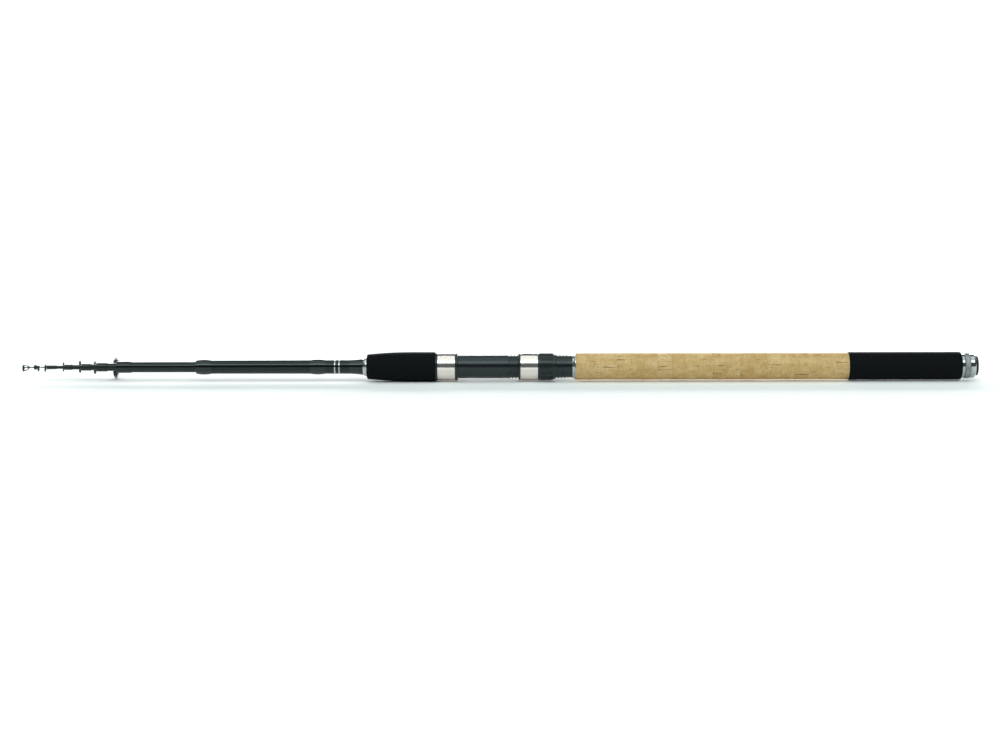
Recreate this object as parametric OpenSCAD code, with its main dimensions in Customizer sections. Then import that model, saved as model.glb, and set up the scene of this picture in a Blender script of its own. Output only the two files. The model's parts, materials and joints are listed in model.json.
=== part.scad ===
// Telescopic fishing rod with a screw-down reel seat, pushed together and lying on its side.
// Each piece is drawn upright: z counts from the butt end towards the tip, and +x is the side
// of the line guides. lay_down() then puts the rod on the floor, with its axis along X.
// The blanks are numbered from the butt: 0 is the butt, 1 to 5 are sections 2 to 6, 6 is the tip.

/* [Blanks] */
// Diameter of the tip blank at its front end
tip_d = 1.0; // [0.8:0.05:1.3]
// How much thicker the tip blank is where it wedges in section 6
tip_swell = 1.05; // [0.8:0.05:1.4]
// Wall of section 6 at its mouth
section_6_wall = 0.36; // [0.3:0.02:0.5]
// How much thicker section 6 is where it wedges in section 5
section_6_swell = 0.43; // [0.3:0.01:0.7]
// Wall of section 5 at its mouth
section_5_wall = 0.40; // [0.3:0.02:0.6]
// How much thicker section 5 is where it wedges in section 4
section_5_swell = 0.35; // [0.3:0.01:0.7]
// Wall of section 4 at its mouth
section_4_wall = 0.40; // [0.3:0.02:0.6]
// How much thicker section 4 is where it wedges in section 3
section_4_swell = 0.40; // [0.3:0.01:0.7]
// Wall of section 3 at its mouth
section_3_wall = 0.52; // [0.4:0.02:0.8]
// How much thicker section 3 is where it wedges in section 2
section_3_swell = 0.90; // [0.6:0.05:1.2]
// Wall of section 2 at its mouth
section_2_wall = 0.85; // [0.6:0.05:1.1]
// How much thicker section 2 is where it wedges in the butt
section_2_swell = 0.90; // [0.6:0.05:1.2]
// Wall of the butt blank
butt_wall = 0.90; // [0.7:0.05:1.2]
// Growth in diameter per millimetre of the stretches that wedge in each other
wedge_taper = 0.004; // [0.003:0.0005:0.006]
// Radial play between two blanks that are drawn out and wedged
slide_play = 0.05; // [0.03:0.01:0.08]

/* [Lengths of the blanks] */
// How far the butt blank stands out in front of the winding check
butt_reach = 153.5; // [120:0.5:190]
// How far section 2 stands out of the butt
section_2_reach = 73.3; // [60:0.1:100]
// How far section 3 stands out of section 2
section_3_reach = 18.3; // [16:0.1:24]
// How far section 4 stands out of section 3
section_4_reach = 14.1; // [13:0.1:20]
// How far section 5 stands out of section 4
section_5_reach = 15.6; // [13:0.1:20]
// How far section 6 stands out of section 5
section_6_reach = 16.7; // [13:0.1:20]
// How far the tip ring's centre stands out of section 6
tip_reach = 22.2; // [20:0.1:28]
// Length of section 2 that stays in the butt when it is drawn out
section_2_overlap = 95; // [70:1:120]
// Length of section 3 that stays in section 2
section_3_overlap = 80; // [60:1:100]
// Length of section 4 that stays in section 3
section_4_overlap = 70; // [50:1:90]
// Length of section 5 that stays in section 4
section_5_overlap = 60; // [45:1:80]
// Length of section 6 that stays in section 5
section_6_overlap = 55; // [40:1:70]
// Length of the tip that stays in section 6
tip_overlap = 50; // [35:1:65]

/* [Line guides] */
// Outer diameter of guide 2's plate
guide_2_plate_d = 19.8; // [18:0.1:22]
// Diameter of guide 2's line hole
guide_2_hole_d = 13.0; // [12:0.1:14]
// Outer diameter of guide 3's plate
guide_3_plate_d = 13.0; // [12:0.1:15]
// Diameter of guide 3's line hole
guide_3_hole_d = 8.4; // [7.8:0.1:9]
// Outer diameter of guide 4's plate
guide_4_plate_d = 12.8; // [12:0.1:15]
// Diameter of guide 4's line hole
guide_4_hole_d = 8.4; // [7.8:0.1:9]
// Outer diameter of guide 5's plate
guide_5_plate_d = 9.2; // [8.8:0.1:11]
// Diameter of guide 5's line hole
guide_5_hole_d = 6.4; // [6.2:0.1:6.8]
// Outer diameter of guide 6's plate
guide_6_plate_d = 7.2; // [7:0.1:9]
// Diameter of guide 6's line hole
guide_6_hole_d = 4.4; // [4:0.1:5]
// Distance from guide 2's sleeve to the near edge of its plate
guide_2_rise = 1.9; // [1.6:0.1:3]
// Distance from guide 3's sleeve to the near edge of its plate
guide_3_rise = 1.5; // [1.2:0.1:2.4]
// Distance from guide 4's sleeve to the near edge of its plate
guide_4_rise = 1.4; // [1.2:0.1:2.4]
// Distance from guide 5's sleeve to the near edge of its plate
guide_5_rise = 1.1; // [0.8:0.1:2]
// Distance from guide 6's sleeve to the near edge of its plate
guide_6_rise = 0.9; // [0.8:0.1:2]
// Length of guide 2's sleeve
guide_2_sleeve_len = 13.0; // [10:0.1:16]
// Length of guide 3's sleeve
guide_3_sleeve_len = 9.0; // [7:0.1:10]
// Length of guide 4's sleeve
guide_4_sleeve_len = 8.3; // [7:0.1:10]
// Length of guide 5's sleeve
guide_5_sleeve_len = 6.6; // [6:0.1:10]
// Length of guide 6's sleeve
guide_6_sleeve_len = 8.7; // [7:0.1:10]
// Wall of guide 2's sleeve
guide_2_sleeve_wall = 0.50; // [0.4:0.05:0.8]
// Wall of guide 3's sleeve
guide_3_sleeve_wall = 0.52; // [0.4:0.02:0.8]
// Wall of guide 4's sleeve
guide_4_sleeve_wall = 0.44; // [0.4:0.02:0.7]
// Wall of guide 5's sleeve
guide_5_sleeve_wall = 0.36; // [0.3:0.02:0.6]
// Wall of guide 6's sleeve
guide_6_sleeve_wall = 0.34; // [0.3:0.02:0.6]
// How far guide 2's plate stands in front of its sleeve
guide_2_lead = 3.8; // [2.4:0.1:4]
// How far guide 3's plate stands in front of its sleeve
guide_3_lead = 2.8; // [1.6:0.1:3]
// How far guide 4's plate stands in front of its sleeve
guide_4_lead = 1.8; // [1.2:0.1:2.4]
// How far guide 5's plate stands in front of its sleeve
guide_5_lead = 1.7; // [1:0.1:2]
// How far guide 6's plate stands in front of its sleeve
guide_6_lead = 2.0; // [1:0.1:2.4]
// Thickness of the guides' sheet metal
sheet_t = 0.65; // [0.5:0.05:0.8]

/* [Tip ring] */
// Outer diameter of the tip ring's plate
tip_plate_d = 6.6; // [6:0.1:8]
// Diameter of the tip ring's line hole
tip_hole_d = 4.0; // [3.6:0.1:4.6]
// Outer diameter of the tip ring's tube
tip_tube_d = 1.0; // [0.95:0.05:1.3]
// Wall of the tip ring's tube
tip_tube_wall = 0.14; // [0.12:0.01:0.2]
// Length of the tip ring's tube
tip_tube_len = 10.3; // [9.4:0.1:12]
// Distance from the ring's centre back to where the legs meet the tube
tip_leg_len = 7.0; // [6:0.1:9]
// Width of the legs
tip_leg_w = 0.55; // [0.4:0.05:0.7]

/* [Floating guide] */
// Outer diameter of the floating guide's plate
floating_plate_d = 5.8; // [5.4:0.1:7]
// Diameter of the floating guide's line hole
floating_hole_d = 3.3; // [3:0.1:4]
// Bore of the floating guide's bush, which wedges on the tip blank
floating_bore_d = 1.5; // [1.4:0.02:1.6]
// Length of the floating guide's hub
floating_hub_len = 2.7; // [2.4:0.1:3.4]
// Outer diameter of the floating guide's hub
floating_hub_d = 3.0; // [2.6:0.1:3.4]
// Place of the plate along the hub, as a share of its length
floating_plate_share = 0.7; // [0.5:0.05:0.75]
// Outer diameter of the round collar on the bush
floating_collar_d = 4.6; // [3.8:0.1:5]
// Length of the round collar on the bush
floating_collar_len = 2.7; // [2:0.1:3]
// Distance from the tip ring's centre back to the front of the collar
floating_back = 10.1; // [9.2:0.1:11.4]

/* [Butt cap] */
// Diameter of the black end's flat face
cap_end_d = 16.2; // [14:0.2:18]
// Thickness of the black end
cap_end_t = 2.1; // [1.5:0.1:3]
// Number of bumps around the black end
cap_end_bumps = 24; // [16:1:32]
// Outer diameter of the cap
cap_d = 22.5; // [21:0.1:24]
// Length of the smooth part of the cap
cap_smooth_len = 5.7; // [4:0.1:8]
// Outer diameter of the gripped band
cap_band_d = 23.1; // [22:0.1:24]
// Length of the gripped band
cap_band_len = 4.7; // [3:0.1:7]
// Length of the flange that closes the grip
flange_len = 2.5; // [2:0.1:4]
// Length of the insert's sleeve in the blank
insert_len = 24; // [18:0.5:30]
// Wall of the insert's sleeve
insert_wall = 0.8; // [0.6:0.05:1.1]
// Radial play of section 2 when it is drawn out through the insert
insert_play = 0.2; // [0.15:0.05:0.35]
// Length of the cap's screw
cap_screw_len = 21.5; // [16:0.5:24]
// Length of the buffer that the sections stand on
buffer_len = 25.7; // [20:0.1:30]

/* [Grips] */
// Diameter of the butt grip
butt_grip_d = 25.5; // [24.4:0.1:28]
// Length of the butt grip
butt_grip_len = 103.6; // [80:0.1:140]
// Diameter of the cork
cork_d = 24.3; // [23.6:0.1:26]
// Thickness of one cork ring
cork_ring_len = 12.55; // [10:0.05:15]
// Number of cork rings
cork_rings = 20; // [12:1:26]
// Diameter of the foregrip at its thickest
foregrip_d = 26.8; // [25.8:0.1:29]
// Diameter of the foregrip's front end
foregrip_front_d = 22.9; // [21:0.1:24]
// Length of the foregrip
foregrip_len = 63; // [50:0.5:90]
// Length of the foregrip's straight part
foregrip_straight = 22; // [10:0.5:40]
// Rounding of the grips' edges
grip_round = 1.6; // [1:0.1:2.4]

/* [Reel seat] */
// Length of the reel seat
seat_len = 126; // [120:0.5:140]
// Bore of the reel seat
seat_bore_d = 17.8; // [17:0.1:18.2]
// Wall of the smooth barrel
seat_wall = 1.9; // [1.7:0.05:2.2]
// Height of the thread over the barrel
thread_rise = 0.1; // [0.05:0.05:0.3]
// Length of the thread
thread_len = 56.5; // [50:0.5:62]
// Depth of the step from the barrel down to the plain tail behind the thread
tail_step = 0.5; // [0.3:0.05:0.7]
// Length of the plain tail
tail_len = 2; // [1:0.1:4]
// Width of the keyway
keyway_w = 2.1; // [1.8:0.1:2.6]
// Depth of the keyway
keyway_depth = 1.1; // [0.8:0.1:1.2]
// Depth of the flat bed for the reel foot
bed_depth = 0.8; // [0.5:0.05:1]
// Wall of the hoods, with their bands
hood_wall = 1.55; // [1.4:0.05:2]
// How much smaller than the hood's radius the arch over the reel foot is
arch_step = 2.5; // [2:0.1:3]
// Distance from the axis to the arch's centre
arch_offset = 5.0; // [4.5:0.1:5.5]
// Thickness of the hoods' steel bands
band_t = 0.6; // [0.4:0.05:0.8]
// Length of the hoods' steel bands
band_len = 16.2; // [14:0.1:18]
// Thickness of the plastic over the reel foot
hood_skin = 1.3; // [1:0.1:1.6]
// Depth of the pockets for the reel foot
pocket_depth = 13; // [10:0.5:15]
// Length of the fixed hood's lip
fixed_lip_len = 2.4; // [2:0.1:4]
// Length of the fixed hood's collar at the foregrip
fixed_collar_len = 2.0; // [1:0.1:3]
// Length of the movable hood's lip
movable_lip_len = 1.7; // [1.2:0.1:3]
// Distance from the tail end to the lock nut
nut_start = 14.9; // [13:0.1:22]
// Length of the lock nut's shoulder
nut_shoulder_len = 2.5; // [2:0.1:4]
// Depth of the step from the lock nut's ribs down to its shoulder
nut_shoulder_step = 0.85; // [0.5:0.05:1]
// Length of the lock nut's ribs
nut_rib_len = 12.2; // [10:0.1:15]
// Wall of the lock nut at its ribs
nut_wall = 1.45; // [1.2:0.05:2]
// Length of the lock nut's smooth collar
nut_collar_len = 1.7; // [1.2:0.1:3]
// Groups of grooves around the lock nut
nut_groups = 12; // [8:1:14]
// Angle between two grooves of a group
nut_groove_step = 6.2; // [5:0.1:7]
// Width of a groove
nut_groove_w = 0.55; // [0.4:0.05:0.8]
// Depth of a groove
nut_groove_depth = 0.45; // [0.3:0.05:0.6]
// Play of the hood and the nut on the thread
seat_play = 0.25; // [0.15:0.05:0.35]
// Length of the trim cone between reel seat and cork
trim_len = 3.0; // [2:0.1:5]
// How far the trim cone widens from the tail to the cork
trim_flare = 1.4; // [1:0.05:1.6]
// Length of one arbor under the reel seat
arbor_len = 18; // [12:1:26]
// Distance of the outer arbors from the seat's ends
arbor_inset = 4; // [2:0.5:8]

/* [Whippings] */
// Length of the winding check
check_len = 3.5; // [2:0.1:5]
// Height of the winding check over the flared whipping
check_rise = 1.35; // [0.9:0.05:1.9]
// Length of the flared whipping
flare_len = 12.5; // [8:0.5:18]
// Height of the flared whipping over the blank at the winding check
flare_rise = 0.95; // [0.6:0.05:1.4]
// Distance from the winding check to the swollen whipping
swelling_start = 34.5; // [26:0.5:50]
// Length of the swollen whipping
swelling_len = 14; // [10:0.5:20]
// Length of the mouth whipping
mouth_whip_len = 14; // [10:0.5:20]
// Height of the swollen whipping over the blank
swelling_rise = 0.66; // [0.4:0.02:0.9]
// Height of the mouth whipping over the blank
mouth_whip_rise = 0.78; // [0.4:0.02:0.9]

/* [Clearances] */
// Glue line between pieces that are bonded
glue = 0.04; // [0.02:0.01:0.06]
// Gap between a guide's plate and its wear ring
ring_seat = 0.1; // [0.06:0.01:0.14]
// Gap between pieces that move against each other
running_gap = 0.3; // [0.2:0.05:0.4]

/* [Hidden] */
$fn = 96;

WALL = [butt_wall, section_2_wall, section_3_wall, section_4_wall, section_5_wall, section_6_wall];
SWELL = [0, section_2_swell, section_3_swell, section_4_swell, section_5_swell,
         section_6_swell, tip_swell];
REACH = [butt_reach, section_2_reach, section_3_reach, section_4_reach, section_5_reach,
         section_6_reach, tip_reach];
TIP = len(REACH) - 1;
OVERLAP = [0, section_2_overlap, section_3_overlap, section_4_overlap, section_5_overlap,
           section_6_overlap, tip_overlap];
PLATE_D = [0, guide_2_plate_d, guide_3_plate_d, guide_4_plate_d, guide_5_plate_d, guide_6_plate_d];
HOLE_D = [0, guide_2_hole_d, guide_3_hole_d, guide_4_hole_d, guide_5_hole_d, guide_6_hole_d];
RISE = [0, guide_2_rise, guide_3_rise, guide_4_rise, guide_5_rise, guide_6_rise];
SLEEVE_LEN = [0, guide_2_sleeve_len, guide_3_sleeve_len, guide_4_sleeve_len, guide_5_sleeve_len,
              guide_6_sleeve_len];
SLEEVE_WALL = [0, guide_2_sleeve_wall, guide_3_sleeve_wall, guide_4_sleeve_wall,
               guide_5_sleeve_wall, guide_6_sleeve_wall];

LEAD = [0, guide_2_lead, guide_3_lead, guide_4_lead, guide_5_lead, guide_6_lead];

// How far each blank is turned in the next one, and how far each plate leans towards the tip
TURN = [0, 0, 0, -5, -5, 5, 12];
LEAN = [0, 0, 6, 10, 8, 6];

// Share of a ring's wall that the plate's rim takes, and the insert's length as a share of it
rim_share = 0.22;
insert_share = 0.45;

// Diameters of the blanks, from the tip outwards: each bore takes the wedge of the next blank
function mouth_d(i) = i == TIP ? tip_d : bore_d(i) + 2 * WALL[i];
function wedge_d(i) = mouth_d(i) + SWELL[i];
function bore_d(i) = wedge_d(i + 1) + 2 * slide_play;
function rear_d(i) = wedge_d(i) + OVERLAP[i] * wedge_taper;

// Places along the rod, from the butt end
cap_band_z = cap_end_t + cap_smooth_len;
cap_front_z = cap_band_z + cap_band_len;
flange_z = cap_front_z + running_gap;
blank_rear_z = flange_z + flange_len + glue;
cork_z = blank_rear_z + butt_grip_len + glue;
trim_z = cork_z + cork_rings * cork_ring_len + glue;
seat_z = trim_z + trim_len + glue;
thread_z = seat_z + tail_len;
barrel_z = thread_z + thread_len;
foregrip_z = seat_z + seat_len + glue;
check_z = foregrip_z + foregrip_len + glue;
flare_z = check_z + check_len + glue;
fixed_hood_z = seat_z + seat_len - fixed_collar_len - band_len - fixed_lip_len;
nut_z = seat_z + nut_start;
movable_hood_z = nut_z + nut_shoulder_len + nut_rib_len + nut_collar_len + running_gap;
screw_end_z = cap_front_z + cap_screw_len;
stop_z = screw_end_z + running_gap + buffer_len;
sections_rear_z = stop_z + running_gap;
function mouth_z(i) = i == 0 ? check_z + check_len + butt_reach : mouth_z(i - 1) + REACH[i];
tip_ring_z = mouth_z(TIP);

// Radii of the butt blank and of its bore at a height: its rear end takes the insert
insert_bore_d = rear_d(1) + 2 * insert_play;
butt_len = mouth_z(0) - blank_rear_z;
butt_swell = insert_bore_d + 2 * (insert_wall + glue) - bore_d(0);
function blank_r(z) = (mouth_d(0) + butt_swell * (mouth_z(0) - z) / butt_len) / 2;
function blank_bore_r(z) = blank_r(z) - butt_wall;

// Guides: sleeve radius, distance from the axis to the ring's centre, insert radius
function sleeve_r(i) = mouth_d(i) / 2 + glue + SLEEVE_WALL[i];
function standoff(i) = sleeve_r(i) + RISE[i] + PLATE_D[i] / 2;
function insert_r(plate, hole) = plate / 2 - (plate - hole) * rim_share;
tip_standoff = tip_plate_d / 2;
floating_standoff = floating_hub_d / 2 + sheet_t / 2 + floating_plate_d / 2;
floating_front_z = tip_ring_z - floating_back;
floating_hub_z = floating_front_z - floating_collar_len - floating_hub_len;
floating_plate_z = floating_hub_z + floating_hub_len * floating_plate_share;

// The rod rolls onto the edge of its largest ring, beside the foregrip
rest_roll = asin((foregrip_d - PLATE_D[1]) / 2 / standoff(1));

// Reel seat, from its bore outwards
barrel_d = seat_bore_d + 2 * seat_wall;
thread_d = barrel_d + 2 * thread_rise;
tail_d = barrel_d - 2 * tail_step;
bed_rise = barrel_d / 2 - bed_depth;
trim_d = tail_d + 2 * trim_flare;
hood_bore_r = thread_d / 2 + seat_play;
hood_d = 2 * (hood_bore_r + hood_wall);
arch_r = hood_d / 2 - arch_step;
pocket_r = arch_r - band_t - hood_skin;
nut_d = 2 * (hood_bore_r + nut_wall);
nut_shoulder_d = nut_d - 2 * nut_shoulder_step;

// Winding check and flared whipping
flare_d = 2 * (blank_r(flare_z) + flare_rise);
check_d = flare_d + 2 * check_rise;

// Puts an upright piece on its side: up becomes +X, and the guides point to -Y and down by the roll
module lay_down(turn = 0)
  rotate([rest_roll - 90, 0, 0]) rotate([0, 90, 0]) rotate([0, 0, turn]) children();

// Radius of an arc that rises by sag in the middle of a chord
function arc_radius(chord, sag) = (chord * chord / 4 + sag * sag) / (2 * sag);

// Outline of a round bar's half, with its front edge rounded
module rounded_bar(r, len, round)
  intersection() {
    square([r, len]);
    union() {
      square([r - round, len]);
      square([r, len - round]);
      translate([r - round, len - round]) circle(r = round);
    }
  }

// A ring on the butt blank, from z0 to z1, with its own radii at the two ends
module ring_on_blank(z0, z1, r0, r1)
  rotate_extrude()
    polygon([[blank_r(z0) + glue, z0], [r0, z0], [r1, z1], [blank_r(z1) + glue, z1]]);

// The space that the butt blank and its glue take, as a half outline
module blank_space(z0, z1)
  polygon([[0, z0], [blank_r(z0) + glue, z0], [blank_r(z1) + glue, z1], [0, z1]]);

// A whipping that bulges over the butt blank
module bulged_whipping(z0, z1, rise) {
  bulge = arc_radius(z1 - z0, rise);
  mid = (z0 + z1) / 2;
  rotate_extrude()
    difference() {
      intersection() {
        translate([0, z0]) square([blank_r(z0) + rise + 1, z1 - z0]);
        translate([blank_r(mid) + glue + rise - bulge, mid]) circle(r = bulge, $fn = 360);
      }
      blank_space(z0 - 1, z1 + 1);
    }
}

// Butt section

module butt_blank()
  color("#1b1f21")
    lay_down()
      rotate_extrude()
        polygon([
          [blank_bore_r(blank_rear_z), blank_rear_z],
          [blank_r(blank_rear_z), blank_rear_z],
          [blank_r(mouth_z(0)), mouth_z(0)],
          [bore_d(0) / 2, mouth_z(0)],
          [(bore_d(0) + OVERLAP[1] * wedge_taper) / 2, mouth_z(0) - OVERLAP[1]]
        ]);

module mouth_whipping()
  color("#0c0e0f")
    lay_down() bulged_whipping(mouth_z(0) - mouth_whip_len, mouth_z(0), mouth_whip_rise);

module swollen_whipping() {
  rear = flare_z + swelling_start;
  color("#0c0e0f") lay_down() bulged_whipping(rear, rear + swelling_len, swelling_rise);
}

module flared_whipping() {
  front = flare_z + flare_len;
  color("#0c0e0f") lay_down() ring_on_blank(flare_z, front, flare_d / 2, blank_r(front) + 4 * glue);
}

module winding_check()
  color("#c9cccd") lay_down() ring_on_blank(check_z, check_z + check_len, check_d / 2, flare_d / 2);

module foregrip() {
  taper_len = foregrip_len - foregrip_straight - grip_round;
  sag = (foregrip_d - foregrip_front_d) / 2;
  bow = arc_radius(2 * taper_len, sag);
  steps = 10;
  bowed_side = [
    for (k = [0:steps], rise = taper_len * k / steps)
      [foregrip_d / 2 - bow + sqrt(bow * bow - rise * rise), foregrip_straight + rise]
  ];
  color("#17191b")
    lay_down()
      rotate_extrude()
        difference() {
          translate([0, foregrip_z]) {
            polygon(concat([[0, 0], [foregrip_d / 2, 0]], bowed_side, [[0, foregrip_len - grip_round]]));
            intersection() {
              rounded_bar(foregrip_front_d / 2, foregrip_len, grip_round);
              translate([0, foregrip_len - grip_round]) square([foregrip_d, grip_round]);
            }
          }
          blank_space(foregrip_z - 1, check_z + 1);
        }
}

module cork_grip()
  color("#c9a873")
    lay_down()
      for (i = [0:cork_rings - 1]) {
        z0 = cork_z + i * cork_ring_len;
        ring_on_blank(z0, z0 + cork_ring_len - glue, cork_d / 2, cork_d / 2);
      }

module butt_grip()
  color("#17191b")
    lay_down()
      rotate_extrude()
        difference() {
          translate([0, blank_rear_z + butt_grip_len])
            mirror([0, 1]) rounded_bar(butt_grip_d / 2, butt_grip_len, grip_round);
          blank_space(blank_rear_z - 1, cork_z + 1);
        }

// Reel seat

module reel_seat_body() {
  hood_end = seat_z + seat_len;
  color("#2b3033")
    lay_down()
      difference() {
        rotate_extrude()
          polygon([
            [seat_bore_d / 2, seat_z], [tail_d / 2, seat_z], [tail_d / 2, thread_z],
            [thread_d / 2, thread_z], [thread_d / 2, barrel_z], [barrel_d / 2, barrel_z],
            [barrel_d / 2, hood_end], [seat_bore_d / 2, hood_end]
          ]);
        translate([-thread_d / 2 - 1, -keyway_w / 2, seat_z - 1])
          cube([1 + keyway_depth, keyway_w, fixed_hood_z + fixed_lip_len - seat_z + 1]);
        translate([bed_rise, -barrel_d, barrel_z])
          cube([barrel_d, 2 * barrel_d, fixed_hood_z + pocket_depth - barrel_z]);
      }
}

module reel_seat_arbors() {
  mid_z = seat_z + (seat_len - arbor_len) / 2;
  front_z = foregrip_z - arbor_len - arbor_inset;
  color("#b89a6a")
    lay_down()
      for (z0 = [seat_z + arbor_inset, mid_z, front_z])
        ring_on_blank(z0, z0 + arbor_len, seat_bore_d / 2 - glue, seat_bore_d / 2 - glue);
}

// Pear-shaped outline of a hood, set in by some depth
module hood_outline(inset) {
  circle(r = hood_d / 2 - inset);
  translate([arch_offset, 0]) circle(r = arch_r - inset);
}

// The lip of a hood, with its front edge rounded
module hood_lip(len) {
  round = len * 0.6;
  rotate_extrude() rounded_bar(hood_d / 2, len, round);
  translate([arch_offset, 0, 0]) rotate_extrude() rounded_bar(arch_r, len, round);
}

// A hood's plastic part, standing on its closed end, with its lip and pocket at the top
module hood_core(collar_len, lip_len, bore_r) {
  len = collar_len + band_len + lip_len;
  difference() {
    union() {
      if (collar_len > 0) linear_extrude(collar_len) hood_outline(0);
      linear_extrude(len - lip_len / 2) hood_outline(band_t + glue);
      translate([0, 0, len - lip_len]) hood_lip(lip_len);
    }
    translate([0, 0, -1]) cylinder(r = bore_r, h = len + 2);
    translate([arch_offset, 0, len - pocket_depth]) cylinder(r = pocket_r, h = pocket_depth + 1);
  }
}

// The steel band of a hood
module hood_band()
  linear_extrude(band_len - 2 * glue)
    difference() {
      hood_outline(0);
      hood_outline(band_t);
    }

module fixed_hood()
  color("#24292b")
    lay_down()
      translate([0, 0, seat_z + seat_len])
        mirror([0, 0, 1]) hood_core(fixed_collar_len, fixed_lip_len, barrel_d / 2 + glue);

module fixed_hood_band()
  color("#cdcfcc") lay_down() translate([0, 0, fixed_hood_z + fixed_lip_len + glue]) hood_band();

module movable_hood() {
  key_w = keyway_w - 2 * seat_play;
  key_r = thread_d / 2 - keyway_depth + running_gap;
  color("#24292b")
    lay_down()
      translate([0, 0, movable_hood_z]) {
        hood_core(0, movable_lip_len, hood_bore_r);
        translate([-hood_bore_r - hood_skin / 2, -key_w / 2, 0])
          cube([hood_bore_r + hood_skin / 2 - key_r, key_w, band_len]);
      }
}

module movable_hood_band()
  color("#cdcfcc") lay_down() translate([0, 0, movable_hood_z + glue]) hood_band();

module lock_nut() {
  ribs_z = nut_shoulder_len;
  collar_z = ribs_z + nut_rib_len;
  len = collar_z + nut_collar_len;
  color("#24292b")
    lay_down()
      translate([0, 0, nut_z])
        difference() {
          union() {
            translate([0, 0, ribs_z + 0.5])
              mirror([0, 0, 1])
                rotate_extrude() rounded_bar(nut_shoulder_d / 2, ribs_z + 0.5, ribs_z * 0.5);
            translate([0, 0, ribs_z]) cylinder(d = nut_d, h = nut_rib_len);
            translate([0, 0, collar_z - 0.5])
              rotate_extrude() rounded_bar(nut_d / 2, nut_collar_len + 0.5, nut_collar_len * 0.5);
          }
          translate([0, 0, -1]) cylinder(r = hood_bore_r, h = len + 2);
          for (group = [0:nut_groups - 1], groove = [-1.5:1:1.5])
            rotate(group * 360 / nut_groups + groove * nut_groove_step)
              translate([nut_d / 2 - nut_groove_depth, -nut_groove_w / 2, ribs_z - 0.1])
                cube([1, nut_groove_w, nut_rib_len + 0.1]);
        }
}

module seat_trim_cone()
  color("#b9bcbd")
    lay_down()
      rotate_extrude()
        polygon([[seat_bore_d / 2, trim_z], [trim_d / 2, trim_z],
                 [tail_d / 2, trim_z + trim_len], [seat_bore_d / 2, trim_z + trim_len]]);

// Butt cap

module butt_insert() {
  sleeve_z = blank_rear_z;
  top_z = sleeve_z + insert_len;
  color("#c4c7c9")
    lay_down()
      rotate_extrude()
        polygon([
          [insert_bore_d / 2, flange_z], [cap_d / 2, flange_z], [cap_d / 2, flange_z + flange_len],
          [blank_bore_r(sleeve_z) - glue, flange_z + flange_len],
          [blank_bore_r(top_z) - glue, top_z], [insert_bore_d / 2, top_z]
        ]);
}

// Screw of the cap and the stem of the buffer in it
screw_r = insert_bore_d / 2 - 2 * slide_play;
stem_r = screw_r / 2;
stem_len = cap_screw_len / 4;

module cap_body() {
  edge = cap_smooth_len * 0.45;
  color("#c4c7c9")
    lay_down()
      difference() {
        rotate_extrude() {
          translate([0, cap_band_z]) mirror([0, 1]) rounded_bar(cap_d / 2, cap_smooth_len, edge);
          translate([0, cap_band_z]) square([cap_band_d / 2, cap_band_len]);
          translate([0, cap_band_z]) square([screw_r, screw_end_z - cap_band_z]);
        }
        translate([0, 0, screw_end_z - stem_len - running_gap])
          cylinder(r = stem_r + running_gap, h = stem_len + 1);
        translate([0, 0, cap_end_t - 1]) cylinder(r = cap_end_d / 4, h = cap_smooth_len / 2 + 1);
      }
}

module cap_end() {
  bump_r = cap_end_t / 3;
  color("#141617")
    lay_down() {
      linear_extrude(cap_end_t - glue) {
        circle(d = cap_end_d);
        for (i = [0:cap_end_bumps - 1])
          rotate(i * 360 / cap_end_bumps) translate([cap_end_d / 2, 0]) circle(r = bump_r);
      }
      cylinder(r = cap_end_d / 4 - glue, h = cap_end_t + cap_smooth_len / 2 - glue);
    }
}

module section_buffer()
  color("#3a3d3f")
    lay_down()
      rotate_extrude() {
        translate([0, screw_end_z + running_gap])
          rounded_bar(screw_r - 2 * slide_play, buffer_len, slide_play);
        translate([0, screw_end_z - stem_len]) square([stem_r, stem_len + 1]);
      }

// Drawn sections

module section_blank(i)
  color("#1b1f21")
    lay_down()
      rotate_extrude()
        polygon([
          [rear_d(i) / 2 - WALL[i], sections_rear_z],
          [rear_d(i) / 2, sections_rear_z],
          [wedge_d(i) / 2, sections_rear_z + OVERLAP[i]],
          [mouth_d(i) / 2, mouth_z(i)],
          [bore_d(i) / 2, mouth_z(i)],
          [(bore_d(i) + OVERLAP[i + 1] * wedge_taper) / 2, mouth_z(i) - OVERLAP[i + 1]]
        ]);

module section_2_blank() section_blank(1);
module section_3_blank() section_blank(2);
module section_4_blank() section_blank(3);
module section_5_blank() section_blank(4);
module section_6_blank() section_blank(5);

module tip_blank() {
  tube_rear_z = tip_ring_z - tip_tube_len;
  point_r = tip_tube_d / 2 - tip_tube_wall - glue / 2;
  color("#1b1f21")
    lay_down()
      rotate_extrude()
        polygon([
          [0, sections_rear_z],
          [rear_d(TIP) / 2, sections_rear_z],
          [wedge_d(TIP) / 2, sections_rear_z + OVERLAP[TIP]],
          [tip_d / 2, tube_rear_z - glue],
          [point_r, tube_rear_z - glue],
          [point_r, tip_ring_z - tip_plate_d / 4],
          [0, tip_ring_z - tip_plate_d / 4]
        ]);
}

// A guide's plate: a flat ring with its hole for the insert
module guide_plate(plate, hole)
  difference() {
    cylinder(d = plate, h = sheet_t, center = true);
    cylinder(r = insert_r(plate, hole), h = 2 * sheet_t, center = true);
  }

// A guide's wear ring: rounded towards the line, with a flange behind the plate
module wear_ring(plate, hole) {
  len = (plate - hole) * insert_share;
  outer = insert_r(plate, hole) - ring_seat;
  rotate_extrude()
    intersection() {
      union() {
        translate([hole / 2 + len / 2, 0]) circle(d = len);
        translate([hole / 2 + len / 2, -len / 2]) square([len, len]);
      }
      translate([0, -len]) square([outer, 2 * len]);
    }
}

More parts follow.
